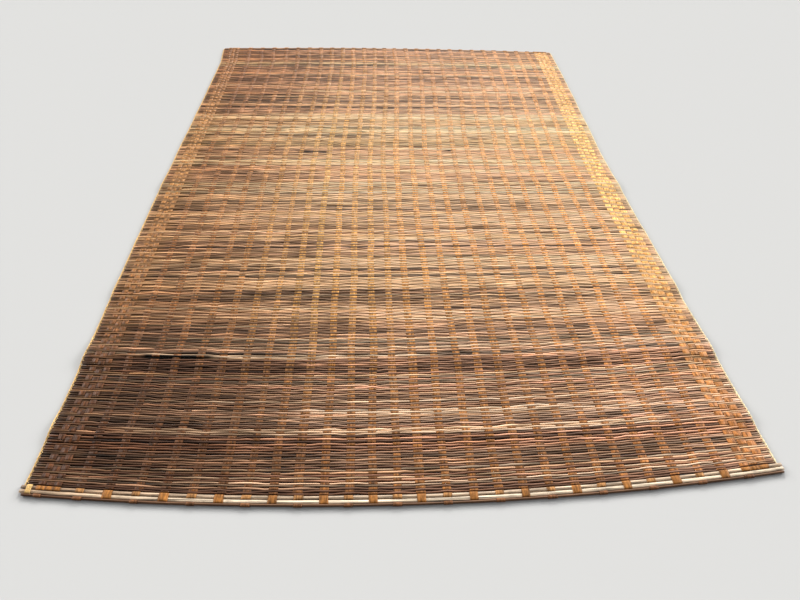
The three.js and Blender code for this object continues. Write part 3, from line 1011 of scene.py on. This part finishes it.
# What the bark goes round: the middle's y and z, then width and height
WRAP_GAP = 0.9
CANES_Y = (BACK_CANE_Y + FRONT_CANE_Y) / 2
CANES_WIDTH = 2 * CANE_WIDTH + WRAP_ROOM
ROUND_CANES = (CANES_Y, CANE_Z, CANES_WIDTH + WRAP_GAP, CANE_HEIGHT + WRAP_GAP)
ROUND_BACK_CANE = (BACK_CANE_Y, CANE_Z, CANE_WIDTH + WRAP_GAP, CANE_HEIGHT + WRAP_GAP)
ROUND_ROD = (ROD_Y, ROD_Z, ROD_DIAMETER + WRAP_GAP, ROD_DIAMETER + WRAP_GAP)
ROUND_FAR_ROD = (
    FAR_ROD_OFFSET,
    FAR_ROD_Z + FAR_WRAP_RISE,
    FAR_ROD_DIAMETER + WRAP_GAP,
    FAR_ROD_DIAMETER + WRAP_GAP,
)

LOOP_STEPS = 20
LOOP_POWER = 0.55
LOOP_SKEW = 1.4
BAND_SPREAD = (0.98, 1.2)  # the strips spread where they are bent round
BAND_RAGGED = 0.3
BAND_SECTION = ((-1, 1), (-0.4, 1.25), (0.4, 1.25), (1, 1), (1, -1), (-1, -1))
BAND_VARIES, BAND_POINT_VARIES = 0.10, 0.03
CANES_BARK = BARK_ORANGE * FIELD_DYE * 0.42
BACK_CANE_BARK = BARK_ORANGE * 0.62
BORDER_BARK = BARK_ORANGE * FIELD_DYE * 0.46
# The rod's bark is dark brown, darkened further as painted shade cast by the canes
ROD_BARK_SHADED = BARK_RED * 0.32


def band_points(x, along, offset, z, width, height, band_width, rng):
    """One closed loop of bark round something `width` by `height`, square to the mat's end."""
    angle = 2 * math.pi * np.arange(LOOP_STEPS) / LOOP_STEPS
    ly, lz = boxy_loop(angle, width, height, LOOP_POWER)
    loop = np.stack([ly, lz], 1)
    tangent = unit(np.roll(loop, -1, 0) - np.roll(loop, 1, 0))
    outward = np.stack([tangent[:, 1], -tangent[:, 0]], 1)
    skew = rng.uniform(-LOOP_SKEW, LOOP_SKEW) * ly / width
    reach = band_width / 2 * rng.uniform(*BAND_SPREAD)
    rows = []
    for side, level in BAND_SECTION:
        edge = side * (reach + rng.normal(0, BAND_RAGGED, LOOP_STEPS))
        px, py = plan((x + edge + skew) / HALF_WIDTH, along)
        out = level * BARK / 2
        py = py + offset + ly + outward[:, 0] * out
        pz = z + lz + outward[:, 1] * out
        rows.append(np.stack([px, py, pz], 1))
    return np.stack(rows, 1)[::-1]


def make_bands(name, bands, colour, seed, nodes=()):
    """Several loops of bark joined in one piece. Each band is a row of band_points' values."""
    rng = np.random.default_rng(seed)
    points, colours = [], []
    for band in bands:
        loop = band_points(*band, rng).reshape(-1, 3)
        tone = 1 + rng.normal(0, BAND_VARIES) + rng.normal(0, BAND_POINT_VARIES, (len(loop), 1))
        points.append(loop)
        colours.append(colour * tone)
    faces = loop_faces(len(bands), LOOP_STEPS, len(BAND_SECTION))
    piece = add_mesh(name, np.concatenate(points), faces, np.concatenate(colours), BARK_SKIN)
    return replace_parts(piece, *nodes) if nodes else piece


def make_wraps():
    """The strips' ends: every second strip goes round both canes, the others round back cane and rod.

    A border's strips go round the back cane, and the first one of each border round the rod too.
    """
    full, back, side, rod = {}, {}, {}, {}
    for number, (x, width, _, _) in enumerate(STRIP_TABLE[IS_BORDER == 0], 1):
        if number % 2 == 0:
            full[f"wrap_full_{number:02d}"] = (x, 0, *ROUND_CANES, width)
        else:
            back[f"wrap_back_{number:02d}"] = (x, 0, *ROUND_BACK_CANE, width)
            rod[f"wrap_rod_{number:02d}"] = (x, 0, *ROUND_ROD, width)
    for number, (x, width, _, _) in enumerate(STRIP_TABLE[IS_BORDER == 1], 1):
        side[f"wrap_side_{number:02d}"] = (x, 0, *ROUND_BACK_CANE, width)
        if number % BORDER_STRIPS == 1:
            rod[f"wrap_side_rod_{number:02d}"] = (x, 0, *ROUND_ROD, width)
    far = [(x + drift, 1, *ROUND_FAR_ROD, width) for x, width, drift, _ in STRIP_TABLE]
    return [
        make_bands("wraps_both_canes", full.values(), CANES_BARK, 91, full),
        make_bands("wraps_back_cane", back.values(), BACK_CANE_BARK, 92, back),
        make_bands("wraps_border", side.values(), BORDER_BARK, 95, side),
        make_bands("wraps_rod", rod.values(), ROD_BARK_SHADED, 93, rod),
        make_bands("wraps_far_rod", far, BARK_ORANGE, 94),
    ]


BINDING_X = -897
BINDING_LENGTH = 13
BINDING_TURNS = 8
BINDING_STEPS = 24  # a turn
BINDING_RADIUS = 0.85
BINDING_SIDES = 6
BINDING_POWER = 0.6
BINDING_ROOM, BINDING_ROOM_UP = 0.6, 0.3
BINDING_RAGGED = 0.15
BINDING_Z = CANE_Z + 0.75


def make_binding():
    """Pale fibre wound round both canes at the left corner."""
    rng = np.random.default_rng(101)
    angle = 2 * math.pi * np.arange(BINDING_TURNS * BINDING_STEPS) / BINDING_STEPS
    width = CANES_WIDTH + 2 * BINDING_RADIUS + BINDING_ROOM
    height = CANE_HEIGHT + 2 * BINDING_RADIUS + BINDING_ROOM_UP
    ly, lz = boxy_loop(angle, width, height, BINDING_POWER)
    ragged = rng.normal(0, BINDING_RAGGED, len(angle))
    px = BINDING_X + (angle / angle[-1] - 0.5) * BINDING_LENGTH + ragged
    x, y = plan(px / HALF_WIDTH, 0)
    path = np.stack([x, y + CANES_Y + ly, BINDING_Z + lz], 1)
    tangent = unit(np.gradient(path, axis=0))
    side = unit(np.cross(tangent, [1.0, 0, 0]))
    up = np.cross(tangent, side)
    turn = 2 * math.pi * np.arange(BINDING_SIDES) / BINDING_SIDES
    ring = side[:, None] * np.cos(turn)[:, None] + up[:, None] * np.sin(turn)[:, None]
    points = (path[:, None] + ring * BINDING_RADIUS).reshape(-1, 3)
    faces = tube_faces(1, len(path), BINDING_SIDES)
    colours = np.tile(FIBRE_GOLD * 0.8, (len(points), 1))
    piece = add_mesh("fibre_binding", points, faces, colours, FIBRE_SKIN)
    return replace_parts(piece, "corner_binding")


sections = make_reeds()
strips = make_strips()
cords = [
    make_cord("twined_cord_left", -1, "edge_cord_left"),
    make_cord("twined_cord_right", 1, "edge_cord_right"),
]
canes = make_canes()
# The near rod is dark brown, darkened further as painted shade cast by the canes
near_rod = make_rod(
    "brown_rod_near", "rod_near", 0, ROD_Y, ROD_OVERHANG, ROD_Z, ROD_DIAMETER, UMBER * 0.3, 111
)
far_rod = make_rod(
    "brown_rod_far", "rod_far", 1, FAR_ROD_OFFSET, FAR_ROD_OVERHANG, FAR_ROD_Z, FAR_ROD_DIAMETER,
    BROWN, 113,
)
wraps = make_wraps()
binding = make_binding()
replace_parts(sections[0][0], "woven_body")


# Floor, light and camera, in metres

FLOOR_SIZE = 60
FLOOR_COLOUR = (0.497, 0.499, 0.4965, 1)
FLOOR_ROUGHNESS = 0.9


def make_floor():
    """A pale matt floor, so wide that its edge stays out of the photo's view."""
    bpy.ops.mesh.primitive_plane_add(size=FLOOR_SIZE)
    floor = bpy.context.object
    floor.name = "floor"
    material = bpy.data.materials.new("floor_pale")
    material.use_nodes = True
    shader = material.node_tree.nodes["Principled BSDF"]
    shader.inputs["Base Color"].default_value = FLOOR_COLOUR
    shader.inputs["Roughness"].default_value = FLOOR_ROUGHNESS
    shader.inputs["Specular IOR Level"].default_value = 0
    floor.data.materials.append(material)
    return floor


floor = make_floor()

# Where each light comes from, its strength, and how wide its source is in degrees
LIGHTS = {
    "softbox_far": ((0.1, 0.92, 0.38), 3.73, 16),
    "softbox_far_left": ((-0.8, 0.5, 0.33), 2.94, 22),
    "softbox_far_right": ((0.8, 0.5, 0.33), 3.28, 22),
    "softbox_above": ((0.1, 0.3, 1.0), 0.565, 100),
}
LIGHT_COLOUR = (1, 0.985, 0.96)
LAMP_DISTANCE = 3
SKY_COLOUR = (0.95, 0.97, 1, 1)
SKY_STRENGTH = 0.271


def make_lights():
    """Soft light mostly from the far side, and a dim sky."""
    for name, (source, strength, spread) in LIGHTS.items():
        light = bpy.data.lights.new(name, "SUN")
        light.energy = strength
        light.angle = math.radians(spread)
        light.color = LIGHT_COLOUR
        lamp = bpy.data.objects.new(name, light)
        lamp.rotation_mode = "QUATERNION"
        lamp.rotation_quaternion = Vector(source).to_track_quat("Z", "Y")
        lamp.location = Vector(source) * LAMP_DISTANCE
        bpy.context.collection.objects.link(lamp)
    world = bpy.data.worlds.new("studio")
    world.use_nodes = True
    background = world.node_tree.nodes["Background"]
    background.inputs["Color"].default_value = SKY_COLOUR
    background.inputs["Strength"].default_value = SKY_STRENGTH
    bpy.context.scene.world = world


make_lights()

# The camera: picture width and focal length in pixels, sensor width in millimetres, then place
# and turns in degrees
PHOTO_WIDTH = 800
FOCAL_PIXELS = 650
SENSOR = 36
CAMERA_AT = Vector((-0.067, -2.2365, 1.366))
PITCH, YAW, ROLL = 41.58, 2.35, 0.86


def make_camera():
    """The photo's camera."""
    data = bpy.data.cameras.new("camera")
    data.sensor_width = SENSOR
    data.lens = FOCAL_PIXELS * SENSOR / PHOTO_WIDTH
    data.clip_end = 100
    camera = bpy.data.objects.new("camera", data)
    turn = (
        Matrix.Rotation(math.radians(-YAW), 4, "Z")
        @ Matrix.Rotation(math.radians(90 - PITCH), 4, "X")
        @ Matrix.Rotation(math.radians(ROLL), 4, "Z")
    )
    camera.matrix_world = Matrix.Translation(CAMERA_AT) @ turn
    bpy.context.collection.objects.link(camera)
    bpy.context.scene.camera = camera


make_camera()
bpy.context.scene.view_settings.view_transform = "Standard"
